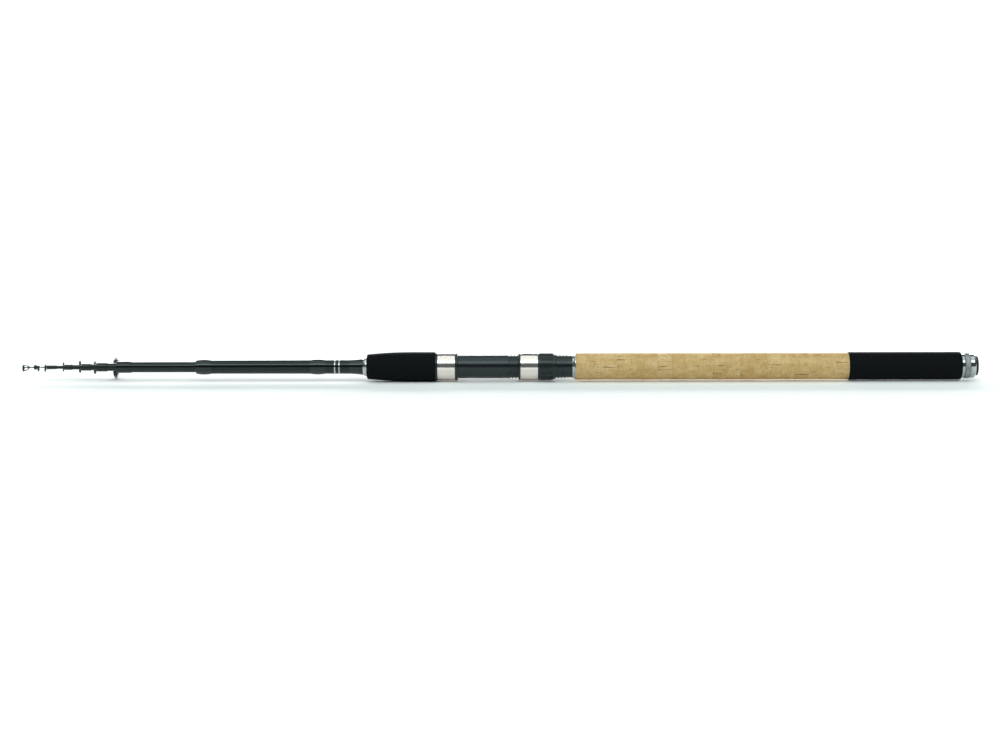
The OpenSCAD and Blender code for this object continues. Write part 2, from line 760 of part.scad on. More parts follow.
// Moves a ring, drawn around the z axis, to its place on guide i
module at_ring(i)
  translate([0, 0, mouth_z(i) + LEAD[i]])
    rotate([0, -LEAN[i], 0])
      translate([standoff(i), 0, 0]) children();

// A guide's frame: the sleeve on the blank, the plate, its apron and two side wings
module guide_frame(i) {
  r = sleeve_r(i);
  wing_y = r * 0.8;
  wing_x = r * 0.6;
  foot = SLEEVE_LEN[i] * 0.6;
  apron = standoff(i) - insert_r(PLATE_D[i], HOLE_D[i]) * 0.9;
  wing_top = standoff(i) - sqrt(PLATE_D[i] * PLATE_D[i] / 4 - wing_y * wing_y) + sheet_t;
  color("#0f1112")
    lay_down(TURN[i])
      difference() {
        union() {
          translate([0, 0, mouth_z(i) - SLEEVE_LEN[i]])
            rotate_extrude() rounded_bar(r, SLEEVE_LEN[i], SLEEVE_WALL[i] * 0.8);
          at_ring(i) guide_plate(PLATE_D[i], HOLE_D[i]);
          translate([0, 0, mouth_z(i) + LEAD[i]])
            rotate([0, -LEAN[i], 0])
              translate([0, -wing_y - sheet_t / 2, -sheet_t / 2])
                cube([apron, 2 * wing_y + sheet_t, sheet_t]);
          for (side = [-1, 1])
            translate([0, side * wing_y + sheet_t / 2, mouth_z(i) + LEAD[i]])
              rotate([90, 0, 0])
                linear_extrude(sheet_t)
                  polygon([[0, -LEAD[i] - foot], [wing_x, -LEAD[i] - foot],
                           [wing_top * cos(LEAN[i]), wing_top * sin(LEAN[i])], [0, 0]]);
        }
        translate([0, 0, mouth_z(i) - SLEEVE_LEN[i] - 1])
          cylinder(d = mouth_d(i) + 2 * glue, h = SLEEVE_LEN[i] + LEAD[i] + PLATE_D[i]);
        at_ring(i) cylinder(r = insert_r(PLATE_D[i], HOLE_D[i]), h = 2 * PLATE_D[i], center = true);
      }
}

module guide_2_frame() guide_frame(1);
module guide_3_frame() guide_frame(2);
module guide_4_frame() guide_frame(3);
module guide_5_frame() guide_frame(4);
module guide_6_frame() guide_frame(5);

module guide_ring(i)
  color("#202426") lay_down(TURN[i]) at_ring(i) wear_ring(PLATE_D[i], HOLE_D[i]);

module guide_2_ring() guide_ring(1);
module guide_3_ring() guide_ring(2);
module guide_4_ring() guide_ring(3);
module guide_5_ring() guide_ring(4);
module guide_6_ring() guide_ring(5);

// Almond outline between two arcs: the two bowed legs of the tip ring
module almond(len, width) {
  r = arc_radius(2 * len, width / 2);
  intersection() {
    translate([0, width / 2 - r]) circle(r = r);
    translate([0, r - width / 2]) circle(r = r);
    translate([-len, -width]) square([len, 2 * width]);
  }
}

module tip_top_frame() {
  tube_rear_z = tip_ring_z - tip_tube_len;
  slope = atan(tip_standoff / tip_leg_len);
  leg_len = norm([tip_standoff, tip_leg_len]);
  width = tip_plate_d - sheet_t;
  color("#0f1112")
    lay_down(TURN[TIP])
      difference() {
        union() {
          translate([0, 0, tube_rear_z]) cylinder(d = tip_tube_d, h = tip_tube_len);
          translate([tip_standoff, 0, tip_ring_z]) {
            guide_plate(tip_plate_d, tip_hole_d);
            rotate([0, slope - 90, 0])
              translate([0, 0, -sheet_t / 2])
                linear_extrude(sheet_t)
                  difference() {
                    almond(leg_len, width);
                    almond(leg_len - 3 * tip_leg_w, width - 2 * tip_leg_w);
                  }
          }
        }
        translate([0, 0, tube_rear_z - 1])
          cylinder(r = tip_tube_d / 2 - tip_tube_wall, h = tip_tube_len + 1 - tip_plate_d / 4 + glue);
        translate([tip_standoff, 0, tip_ring_z])
          cylinder(r = insert_r(tip_plate_d, tip_hole_d), h = tip_plate_d, center = true);
      }
}

module tip_top_ring()
  color("#202426")
    lay_down(TURN[TIP])
      translate([tip_standoff, 0, tip_ring_z]) wear_ring(tip_plate_d, tip_hole_d);

// Floating guide

liner_r = (floating_bore_d + floating_hub_d) / 4;

module floating_guide_frame() {
  eye_r = insert_r(floating_plate_d, floating_hole_d);
  color("#0f1112")
    lay_down(TURN[TIP])
      difference() {
        union() {
          translate([0, 0, floating_hub_z]) cylinder(d = floating_hub_d, h = floating_hub_len - glue);
          translate([floating_standoff, 0, floating_plate_z]) guide_plate(floating_plate_d, floating_hole_d);
          translate([0, -floating_hub_d / 4, floating_plate_z - sheet_t / 2])
            cube([floating_standoff - eye_r, floating_hub_d / 2, sheet_t]);
        }
        translate([0, 0, floating_hub_z - 1]) cylinder(r = liner_r + glue, h = floating_hub_len + 2);
        translate([floating_standoff, 0, floating_plate_z])
          cylinder(r = eye_r, h = floating_plate_d, center = true);
      }
}

module floating_guide_bush()
  color("#1a1d1f")
    lay_down(TURN[TIP])
      rotate_extrude()
        difference() {
          union() {
            translate([0, floating_hub_z]) square([liner_r, floating_hub_len + 1]);
            translate([0, floating_hub_z + floating_hub_len])
              rounded_bar(floating_collar_d / 2, floating_collar_len, floating_collar_len * 0.8);
          }
          translate([0, floating_hub_z - 1])
            square([floating_bore_d / 2, floating_hub_len + floating_collar_len + 2]);
        }

module floating_guide_ring()
  color("#202426")
    lay_down(TURN[TIP])
      translate([floating_standoff, 0, floating_plate_z])
        wear_ring(floating_plate_d, floating_hole_d);

butt_blank();
mouth_whipping();
swollen_whipping();
flared_whipping();
winding_check();
foregrip();
reel_seat_body();
reel_seat_arbors();
fixed_hood();
fixed_hood_band();
movable_hood();
movable_hood_band();
lock_nut();
seat_trim_cone();
cork_grip();
butt_grip();
butt_insert();
section_buffer();
cap_body();
cap_end();
section_2_blank();
section_3_blank();
section_4_blank();
section_5_blank();
section_6_blank();
tip_blank();
guide_2_frame();
guide_3_frame();
guide_4_frame();
guide_5_frame();
guide_6_frame();
guide_2_ring();
guide_3_ring();
guide_4_ring();
guide_5_ring();
guide_6_ring();
tip_top_frame();
tip_top_ring();
floating_guide_frame();
floating_guide_bush();
floating_guide_ring();
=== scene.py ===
"""Looks of a telescopic fishing rod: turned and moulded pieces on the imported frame, a floor, soft
light and a camera. Pieces are modelled upright in millimetres (x towards the line guides, z from butt
to tip) and laid along the frame's X axis at the end.
"""

import json
import math

import bmesh
import bpy
from mathutils import Matrix, Vector


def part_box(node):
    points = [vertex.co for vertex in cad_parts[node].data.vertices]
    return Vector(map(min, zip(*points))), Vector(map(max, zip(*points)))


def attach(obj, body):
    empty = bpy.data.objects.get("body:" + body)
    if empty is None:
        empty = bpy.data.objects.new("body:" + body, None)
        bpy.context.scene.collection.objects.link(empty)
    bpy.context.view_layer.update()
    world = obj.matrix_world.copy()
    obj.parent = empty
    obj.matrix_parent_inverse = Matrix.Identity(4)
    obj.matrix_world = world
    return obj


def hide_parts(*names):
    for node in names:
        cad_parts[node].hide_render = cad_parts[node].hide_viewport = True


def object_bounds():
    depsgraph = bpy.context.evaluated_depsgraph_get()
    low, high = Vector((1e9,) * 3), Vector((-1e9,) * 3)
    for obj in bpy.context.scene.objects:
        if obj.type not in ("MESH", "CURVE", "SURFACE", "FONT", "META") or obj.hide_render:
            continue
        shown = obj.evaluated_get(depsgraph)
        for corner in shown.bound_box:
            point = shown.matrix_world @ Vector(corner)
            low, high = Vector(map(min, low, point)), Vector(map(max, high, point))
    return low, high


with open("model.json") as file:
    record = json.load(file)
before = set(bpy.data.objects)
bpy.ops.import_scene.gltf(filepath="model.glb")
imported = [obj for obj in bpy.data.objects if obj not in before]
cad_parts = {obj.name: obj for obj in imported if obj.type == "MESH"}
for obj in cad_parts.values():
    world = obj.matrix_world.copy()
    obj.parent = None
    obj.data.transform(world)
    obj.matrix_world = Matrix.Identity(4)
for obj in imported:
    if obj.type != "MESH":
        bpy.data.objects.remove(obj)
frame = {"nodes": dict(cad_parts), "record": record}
cad_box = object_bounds()
nodes = frame["nodes"]
mounts = {mount["name"]: mount for mount in frame["record"]["mounts"]}

MM = 0.001
ROUND = 2 * math.pi

# The rod lies rolled over by this angle, so its guides point a little down
foot_side = Vector(mounts["reel_seat"]["axis"])
ROLL = math.asin(-foot_side.z)


def start(node):
    """Station of a node's rear end, in millimetres along the rod."""
    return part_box(node)[0].x / MM


def end(node):
    """Station of a node's front end, in millimetres along the rod."""
    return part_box(node)[1].x / MM


def radius(node):
    """Largest radius of a turned node, in millimetres."""
    low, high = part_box(node)
    return (high.z - low.z) / 2 / MM


def laid(turn=0.0):
    """Matrix from an upright millimetre piece to its place in the frame."""
    sin, cos = math.sin(ROLL), math.cos(ROLL)
    lay = Matrix(((0, 0, 1, 0), (-cos, sin, 0, 0), (-sin, -cos, 0, 0), (0, 0, 0, 1)))
    return lay @ Matrix.Rotation(math.radians(turn), 4, "Z") @ Matrix.Scale(MM, 4)


# Modelling helpers


def only(kind, geometry):
    """The vertices or the edges among an operator's results."""
    return [g for g in geometry if isinstance(g, kind)]


def joined(seeds):
    """Vertices of the shell that holds the seed vertices."""
    todo = list(seeds)
    found = dict.fromkeys(todo)
    while todo:
        for face in todo.pop().link_faces:
            fresh = [v for v in face.verts if v not in found]
            found.update(dict.fromkeys(fresh))
            todo.extend(fresh)
    return list(found)


def turned(bm, outline, steps=96, closed=True, place=None):
    """Spins an outline of (radius, height) points around the z axis."""
    verts = [bm.verts.new((r, 0, z)) for r, z in outline]
    edges = [bm.edges.new(pair) for pair in zip(verts, verts[1:])]
    if closed:
        edges.append(bm.edges.new((verts[-1], verts[0])))
    bmesh.ops.spin(bm, geom=verts + edges, cent=(0, 0, 0), axis=(0, 0, 1), dvec=(0, 0, 0),
                   angle=ROUND, steps=steps, use_merge=True)
    if place is not None:
        bmesh.ops.transform(bm, matrix=place, verts=joined(verts))


def rings(bm, stations, segments, closed=True):
    """Skins rings across the z axis of an empty bmesh. A station is (reach, height); a reach is a
    radius or a function of the angle from the guides' side."""
    ring = bmesh.ops.create_circle(bm, cap_ends=False, radius=1, segments=segments)["verts"]
    loops = [bm.edges[:]]
    for number, (reach, height) in enumerate(stations):
        if number:
            grown = bmesh.ops.extrude_edge_only(bm, edges=loops[-1])["geom"]
            ring = only(bmesh.types.BMVert, grown)
            own = set(ring)
            loops.append([e for e in only(bmesh.types.BMEdge, grown) if own.issuperset(e.verts)])
        for v in ring:
            angle = math.atan2(v.co.y, v.co.x)
            r = reach(angle) if callable(reach) else reach
            v.co = (r * math.cos(angle), r * math.sin(angle), height)
    if closed:
        bmesh.ops.bridge_loops(bm, edges=loops[0] + loops[-1])
    return loops


def plate(bm, corners, thickness, place, soften=0.0):
    """A flat plate: corners in its x-y plane, thickened evenly to both sides of it."""
    verts = [bm.verts.new((x, y, -thickness / 2)) for x, y in corners]
    face = bm.faces.new(verts)
    top = only(bmesh.types.BMVert, bmesh.ops.extrude_face_region(bm, geom=[face])["geom"])
    bmesh.ops.translate(bm, vec=(0, 0, thickness), verts=top)
    made = verts + top
    if soften:
        edges = list(dict.fromkeys(e for v in made for e in v.link_edges))
        bevelled = bmesh.ops.bevel(bm, geom=edges, offset=soften, offset_type="OFFSET", affect="EDGES",
                                   segments=2, profile=0.5, material=-1)
        made = list(dict.fromkeys(bevelled["verts"] + [v for v in made if v.is_valid]))
    bmesh.ops.transform(bm, matrix=place, verts=made)


def quarter(steps):
    """Angles through a quarter turn, both ends included."""
    return [math.pi / 2 * k / steps for k in range(steps + 1)]


def low_edge(r, low, edge, steps):
    """Points round an outer edge at a low end, from the end face to the side."""
    return [(r - edge + edge * math.sin(a), low + edge - edge * math.cos(a)) for a in quarter(steps)]


def high_edge(r, high, edge, steps):
    """Points round an outer edge at a high end, from the side to the end face."""
    return [(r - edge + edge * math.cos(a), high - edge + edge * math.sin(a)) for a in quarter(steps)]


def rounded(r_in, r_out, low, high, edge, steps=4):
    """Outline of a ring with its two outer edges rounded."""
    outside = low_edge(r_out, low, edge, steps) + high_edge(r_out, high, edge, steps)
    return [(r_in, low)] + outside + [(r_in, high)]


def bowed(r_low, r_mid, r_high, low, high, steps=10):
    """Points of an arc-like bulge from low to high."""
    points = []
    rise = r_mid - (r_low + r_high) / 2
    for k in range(steps + 1):
        t = k / steps
        straight = r_low + (r_high - r_low) * t
        points.append((straight + rise * 4 * t * (1 - t), low + (high - low) * t))
    return points


def piece(name, bm, finish, body, *replaced, slot, turn=0.0, sharp=35):
    """Lays a finished mesh along the rod and hands it to the frame."""
    bmesh.ops.remove_doubles(bm, verts=bm.verts, dist=0.0005)
    bmesh.ops.recalc_face_normals(bm, faces=bm.faces)
    bmesh.ops.transform(bm, matrix=laid(turn), verts=bm.verts)
    for face in bm.faces:
        face.smooth = True
    for edge in bm.edges:
        edge.smooth = len(edge.link_faces) == 2 and edge.calc_face_angle(0.0) < math.radians(sharp)
    mesh = bpy.data.meshes.new(name)
    bm.to_mesh(mesh)
    bm.free()
    mesh.materials.append(finish)
    obj = bpy.data.objects.new(name, mesh)
    bpy.context.scene.collection.objects.link(obj)
    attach(obj, body)
    if replaced:
        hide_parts(*replaced)


# Finishes


class Finish:
    """A material with helpers for patterns in object space."""

    def __init__(self, name, roughness=0.5, metallic=0.0, specular=0.5, tint=(1, 1, 1)):
        self.material = bpy.data.materials.new(name)
        self.material.use_nodes = True
        self.nodes = self.material.node_tree.nodes
        self.links = self.material.node_tree.links
        self.shader = self.nodes["Principled BSDF"]
        self.shader.inputs["Roughness"].default_value = roughness
        self.shader.inputs["Metallic"].default_value = metallic
        self.shader.inputs["Specular IOR Level"].default_value = specular
        self.shader.inputs["Specular Tint"].default_value = (*tint, 1)
        self.place = self.nodes.new("ShaderNodeTexCoord").outputs["Object"]

    def add(self, kind, **values):
        node = self.nodes.new(kind)
        for key, value in values.items():
            setattr(node, key, value)
        return node

    def noise(self, scale, detail=3.0, stretch=(1, 1, 1), rough=0.5, shift=None):
        mapping = self.add("ShaderNodeMapping")
        mapping.inputs["Scale"].default_value = stretch
        self.links.new(self.place, mapping.inputs["Vector"])
        noise = self.add("ShaderNodeTexNoise")
        noise.inputs["Scale"].default_value = scale
        noise.inputs["Detail"].default_value = detail
        noise.inputs["Roughness"].default_value = rough
        self.links.new(mapping.outputs["Vector"], noise.inputs["Vector"])
        if shift is not None:
            noise.noise_dimensions = "4D"
            self.links.new(shift, noise.inputs["W"])
        return noise.outputs["Fac"]

    def ramp(self, factor, *stops):
        ramp = self.add("ShaderNodeValToRGB")
        elements = ramp.color_ramp.elements
        while len(elements) < len(stops):
            elements.new(0.5)
        for element, (place, colour) in zip(elements, stops):
            element.position = place
            element.color = colour
        self.links.new(factor, ramp.inputs["Fac"])
        return ramp.outputs["Color"]

    def axes(self):
        split = self.add("ShaderNodeSeparateXYZ")
        self.links.new(self.place, split.inputs["Vector"])
        return split.outputs

    def maths(self, operation, one, two=None):
        node = self.add("ShaderNodeMath", operation=operation)
        for socket, value in zip(node.inputs, (one, two)):
            if isinstance(value, float):
                socket.default_value = value
            elif value is not None:
                self.links.new(value, socket)
        return node.outputs[0]

    def blend(self, kind, factor, one, two):
        node = self.add("ShaderNodeMix", data_type="RGBA", blend_type=kind)
        for socket, value in zip((node.inputs[0], node.inputs[6], node.inputs[7]), (factor, one, two)):
            if isinstance(value, (float, tuple)):
                socket.default_value = value
            else:
                self.links.new(value, socket)
        return node.outputs[2]

    def colour(self, output):
        self.links.new(output, self.shader.inputs["Base Color"])

    def roughness(self, factor, low, high):
        spread = self.add("ShaderNodeMapRange")
        spread.inputs["To Min"].default_value = low
        spread.inputs["To Max"].default_value = high
        self.links.new(factor, spread.inputs["Value"])
        self.links.new(spread.outputs["Result"], self.shader.inputs["Roughness"])

    def bump(self, height, distance, strength=1.0):
        bump = self.add("ShaderNodeBump")
        bump.inputs["Strength"].default_value = strength
        bump.inputs["Distance"].default_value = distance
        self.links.new(height, bump.inputs["Height"])
        self.links.new(bump.outputs["Normal"], self.shader.inputs["Normal"])


def shade(code):
    """Linear colour from a hex code."""
    parts = [int(code[i:i + 2], 16) / 255 for i in (0, 2, 4)]
    return (*[p / 12.92 if p <= 0.04045 else ((p + 0.055) / 1.055) ** 2.4 for p in parts], 1.0)


def grey(value):
    """Linear grey between black and white."""
    return (value, value, value, 1)


# Tint of the highlights on dark surfaces
COOL = (0.86, 1.0, 1.0)


def satin_lacquer():
    finish = Finish("satin_black_lacquer", roughness=0.12, specular=0.42, tint=COOL)
    grain = finish.noise(2400, detail=2)
    finish.colour(finish.ramp(grain, (0.35, shade("05080a")), (0.7, shade("0a0e10"))))
    finish.roughness(grain, 0.11, 0.15)
    return finish.material


def gloss_lacquer():
    finish = Finish("gloss_black_lacquer", roughness=0.06, specular=0.6, tint=COOL)
    grain = finish.noise(500, detail=1)
    finish.colour(finish.ramp(grain, (0.3, shade("040607")), (0.75, shade("070a0b"))))
    return finish.material


def grip_foam():
    finish = Finish("black_grip_foam", roughness=0.85, specular=0.1)
    cells = finish.noise(3200, detail=3, rough=0.7)
    finish.colour(finish.ramp(cells, (0.32, shade("080a0c")), (0.5, shade("0d1012")),
                              (0.72, shade("16191c"))))
    finish.bump(cells, 0.00012, 0.5)
    return finish.material


def natural_cork(first_ring, ring_length):
    """Cork rings: each has its own tone, growth lines across the grip and dark fissures along it."""
    finish = Finish("natural_cork", roughness=0.7, specular=0.25)
    offset = finish.maths("SUBTRACT", finish.axes()["X"], first_ring * MM)
    ring = finish.maths("FLOOR", finish.maths("DIVIDE", offset, ring_length * MM))
    own = finish.maths("MULTIPLY", ring, 3.7)
    chance = finish.add("ShaderNodeTexWhiteNoise", noise_dimensions="1D")
    finish.links.new(own, chance.inputs["W"])
    body = finish.noise(140, detail=4, stretch=(0.5, 1, 1), shift=own)
    growth = finish.noise(800, detail=3, stretch=(1.5, 0.3, 0.3), shift=own)
    specks = finish.noise(1250, detail=2, stretch=(0.17, 1, 1), shift=own)
    splits = finish.noise(700, detail=3, stretch=(0.055, 1, 1), rough=0.6, shift=own)
    short_marks = finish.ramp(specks, (0.61, grey(0)), (0.7, grey(0.6)))
    fissures = finish.ramp(splits, (0.625, grey(0)), (0.665, grey(1)))
    marks = finish.maths("MAXIMUM", short_marks, fissures)
    ground = finish.ramp(body, (0.3, shade("cfad73")), (0.5, shade("dcbe88")), (0.72, shade("e8ce9e")))
    tone = finish.ramp(chance.outputs["Value"], (0.0, shade("f3ede2")), (1.0, grey(1)))
    lines = finish.ramp(growth, (0.35, shade("e6dcc8")), (0.6, grey(1)))
    tinted = finish.blend("MULTIPLY", 1.0, finish.blend("MULTIPLY", 0.7, ground, lines), tone)
    finish.colour(finish.blend("MIX", marks, tinted, shade("6d4a26")))
    finish.bump(finish.maths("SUBTRACT", 1.0, marks), 0.0002, 0.5)
    return finish.material


def satin_plastic():
    finish = Finish("satin_charcoal_plastic", roughness=0.28, specular=0.52, tint=COOL)
    grain = finish.noise(1500, detail=2)
    finish.colour(finish.ramp(grain, (0.3, shade("12171a")), (0.7, shade("191f22"))))
    finish.roughness(grain, 0.25, 0.31)
    return finish.material


def turned_metal(name, light, dark, rough, grain_stretch=(1, 1, 1), relief=0.3):
    finish = Finish(name, roughness=rough, metallic=1.0)
    grain = finish.noise(4200, detail=2, stretch=grain_stretch)
    finish.colour(finish.ramp(grain, (0.3, shade(dark)), (0.65, shade(light))))
    finish.roughness(grain, rough - 0.04, rough + 0.05)
    finish.bump(grain, 0.00001, relief)
    return finish.material


def plain_finish(name, dark, light, scale, detail, stretch=(1, 1, 1), **values):
    """A finish with nothing but a slight grain between two close tones."""
    finish = Finish(name, **values)
    grain = finish.noise(scale, detail=detail, stretch=stretch)
    finish.colour(finish.ramp(grain, (0.3, shade(dark)), (0.7, shade(light))))
    return finish.material


LACQUER = satin_lacquer()
GLOSS = gloss_lacquer()
FOAM = grip_foam()
PLASTIC = satin_plastic()
BAND_STEEL = turned_metal("satin_band_steel", "f2e9e3", "e6ddd7", 0.17, relief=0.9)
TRIM_METAL = turned_metal("turned_trim_metal", "c6c9ca", "b2b5b6", 0.2, grain_stretch=(1, 0.05, 0.05))
PLATE = plain_finish("bright_plate", "a6abac", "b6bbbc", 300, 1, roughness=0.09, metallic=1.0)
KNURL = plain_finish("knurled_metal", "848889", "a0a4a5", 900, 2, roughness=0.28, metallic=1.0)
MOULDING = plain_finish("black_moulding", "0b0d0e", "131617", 900, 2, roughness=0.3, specular=0.4)
COATING = plain_finish("gloss_black_coating", "060809", "0b0e0f", 700, 1, roughness=0.12,
                       specular=0.45, tint=COOL)
CERAMIC = plain_finish("dark_ceramic", "14181a", "1c2123", 900, 1, roughness=0.3, specular=0.35)
ARBOR = plain_finish("light_arbor", "a8885a", "c2a274", 400, 3, stretch=(0.2, 1, 1), roughness=0.7)
BUFFER = plain_finish("buffer_foam", "2c2f31", "45484a", 1600, 3, roughness=0.85, specular=0.2)

# Blanks: their outlines are read from the frame, and turned finely


def reaches(node):
    """Distances of a node's vertices from the rod's axis, by height, in millimetres."""
    points = {}
    for v in nodes[node].data.vertices:
        height = round(v.co.x / MM, 3)
        points.setdefault(height, set()).add(round(math.hypot(v.co.y, v.co.z) / MM, 3))
    return points


def tube_outline(node):
    """(radius, height) points of a turned tube: up its outside, then down its bore."""
    points = reaches(node)
    low, high = min(points), max(points)
    midway = {z: (max(points[z]) + min(points[z])) / 2 for z in (low, high)}
    outside, bore = [], []
    for z in sorted(points):
        widest, narrowest = max(points[z]), min(points[z])
        split = midway[low] + (midway[high] - midway[low]) * (z - low) / (high - low)
        if widest > split:
            outside.append((widest, z))
        if narrowest < split:
            bore.append((narrowest, z))
    return outside + bore[::-1]


def solid_outline(node):
    """(radius, height) points up the outside of a turned solid, from pole to pole."""
    points = reaches(node)
    outside = [(r, z) for z in sorted(points) for r in sorted(points[z], reverse=True) if r > 0.01]
    return [(0, outside[0][1])] + outside + [(0, outside[-1][1])]


def blank(node, body):
    bm = bmesh.new()
    turned(bm, tube_outline(node), steps=64)
    piece(node + "_tube", bm, LACQUER, body, node, slot="blank")


def tip_rod():
    bm = bmesh.new()
    turned(bm, solid_outline("tip_blank"), steps=32, closed=False)
    piece("tip_rod", bm, LACQUER, "tip", "tip_blank", slot="blank")


blank("butt_blank", "handle")
for k in range(2, 7):
    blank(f"section_{k}_blank", f"section_{k}")
tip_rod()

(BUTT_REAR, BUTT_START), (BUTT_FRONT, BUTT_END) = tube_outline("butt_blank")[:2]

# Film of lacquer on a blank, and glue gap between a piece and what carries it
FILM = 0.03
GLUE = 0.04


def blank_radius(height):
    """Outer radius of the butt blank, which tapers evenly."""
    return BUTT_REAR + (BUTT_FRONT - BUTT_REAR) * (height - BUTT_START) / (BUTT_END - BUTT_START)


def on_blank(height):
    """A bore's point at this height, for a piece that is glued to the butt blank."""
    return (blank_radius(height) + GLUE, height)


def whipping(node, name):
    low, high, top = start(node), end(node), radius(node)
    bm = bmesh.new()
    outline = [(blank_radius(low) + FILM, low)]
    outline += bowed(blank_radius(low) + 2 * FILM, top, blank_radius(high) + 2 * FILM, low, high, 14)
    outline.append((blank_radius(high) + FILM, high))
    turned(bm, outline, steps=80)
    piece(name, bm, GLOSS, "handle", node, slot="lacquer")


def flare():
    low, high, wide = start("flared_whipping"), end("flared_whipping"), radius("flared_whipping")
    bm = bmesh.new()
    outline = [(blank_radius(low) + FILM, low), (wide, low)]
    for k in range(1, 11):
        t = k / 10
        fall = (1 - t) ** 1.6
        z = low + (high - low) * t
        outline.append((blank_radius(z) + 2 * FILM + (wide - blank_radius(low)) * fall, z))
    outline.append((blank_radius(high) + FILM, high))
    turned(bm, outline, steps=80)
    piece("flared_whipping_lacquer", bm, GLOSS, "handle", "flared_whipping", slot="lacquer")


def check_cone():
    low, high, wide = start("winding_check"), end("winding_check"), radius("winding_check")
    narrow = radius("flared_whipping")
    lip, soft, step, bulge = 0.5, 0.15, 0.1, 0.12
    bm = bmesh.new()
    outline = [on_blank(low), (wide - soft, low), (wide, low + soft), (wide, low + lip)]
    outline += bowed(wide - step, (wide + narrow) / 2 + bulge, narrow, low + lip, high, 6)
    outline.append(on_blank(high))
    turned(bm, outline, steps=96)
    piece("winding_check_cone", bm, TRIM_METAL, "handle", "winding_check", slot="trim_metal")


def silver_rings():
    """Two narrow rings painted round the blank."""
    sink, paint, length, soft = 0.01, 0.05, 1.0, 0.05
    rear_edges = (587.0, 591.0)
    bm = bmesh.new()
    for low in rear_edges:
        high = low + length
        r_low, r_high = blank_radius(low), blank_radius(high)
        turned(bm, [(r_low + sink, low), (r_low + paint, low + soft), (r_high + paint, high - soft),
                    (r_high + sink, high)], steps=80)
    piece("silver_rings", bm, TRIM_METAL, "handle", slot="trim_metal")


whipping("mouth_whipping", "mouth_whipping_lacquer")
whipping("swollen_whipping", "swollen_whipping_lacquer")
flare()
check_cone()
silver_rings()

# Grips

# Rounding of the foam grips' free ends
GRIP_EDGE = 1.6


def foregrip_foam():
    node = "foregrip"
    low, high, top = start(node), end(node), radius(node)
    front, straight, soft = 11.45, 22.0, 0.35
    taper = high - GRIP_EDGE - low - straight
    bm = bmesh.new()
    outline = [on_blank(low), (top - soft, low), (top, low + soft), (top, low + straight)]
    for k in range(1, 13):
        t = k / 12
        outline.append((top - (top - front) * t * t, low + straight + taper * t))
    outline += high_edge(front, high, GRIP_EDGE, 6)[1:]
    outline.append(on_blank(high))
    turned(bm, outline, steps=128)
    piece("foregrip_foam", bm, FOAM, "handle", node, slot="grip_foam")


def butt_foam():
    node = "butt_grip"
    low, high, top = start(node), end(node), radius(node)
    bm = bmesh.new()
    outline = [on_blank(low)] + low_edge(top, low, GRIP_EDGE, 6)
    outline += [(top, high - 0.3), (top - 0.25, high), on_blank(high)]
    turned(bm, outline, steps=128)
    piece("butt_foam", bm, FOAM, "handle", node, slot="grip_foam")


def cork_stack():
    node = "cork_grip"
    low, high, top = start(node), end(node), radius(node)
    count = 20
    length = (high - low) / count
    groove, half = 0.10, 0.16
    bm = bmesh.new()
    outline = [on_blank(low), (top - groove, low)]
    for k in range(count):
        z = low + k * length
        outline += [(top, z + half), (top, z + length - half), (top - groove, z + length)]
    outline.append(on_blank(high))
    turned(bm, outline, steps=128)
    piece("cork_stack", bm, natural_cork(low, length), "handle", node, slot="cork")


foregrip_foam()
butt_foam()
cork_stack()

# Reel seat: radii of its thread, barrel, keyway and flat bed, then lengths along it

CREST = 10.9
ROOT = 10.3
BARREL = 10.8
SEAT_BORE = 8.9
KEY_HALF = 1.05
KEY_FLOOR = 9.8
BED = 10.0
PITCH = 3.0
TAIL = 2.0
THREAD = 56.5
POCKET = 13.0
SLIDING_BORE = CREST + 0.25


def keyed(r):
    """Reach of a round section with the keyway cut in its back."""
    def reach(angle):
        if math.cos(angle) < 0 and abs(r * math.sin(angle)) < KEY_HALF:
            return KEY_FLOOR / -math.cos(angle)
        return r
    return reach


def keyed_bed(r):
    """Reach of the barrel, with the keyway in its back and the flat bed in its front."""
    cut = keyed(r)

    def reach(angle):
        if math.cos(angle) > 0 and r * math.cos(angle) > BED:
            return BED / math.cos(angle)
        return cut(angle)
    return reach


def seat_barrel():
    node = "reel_seat_body"
    low, high = start(node), end(node)
    shoulder = low + TAIL + THREAD
    bed_end = start("fixed_hood") + POCKET
    stations = [
        (SEAT_BORE, low),
        (keyed(ROOT - 0.2), low),
        (keyed(ROOT), low + 0.2),
        (keyed(ROOT), shoulder - 0.9),
        (keyed(BARREL - 0.15), shoulder - 0.05),
        (keyed(BARREL), shoulder + 0.1),
        (keyed_bed(BARREL), shoulder + 0.12),
        (keyed_bed(BARREL), bed_end),
        (keyed(BARREL), bed_end + 0.02),
        (keyed(BARREL), high),
        (SEAT_BORE, high),
    ]
    bm = bmesh.new()
    rings(bm, stations, 288)
    piece("seat_barrel", bm, PLASTIC, "handle", node, slot="seat_plastic", sharp=30)


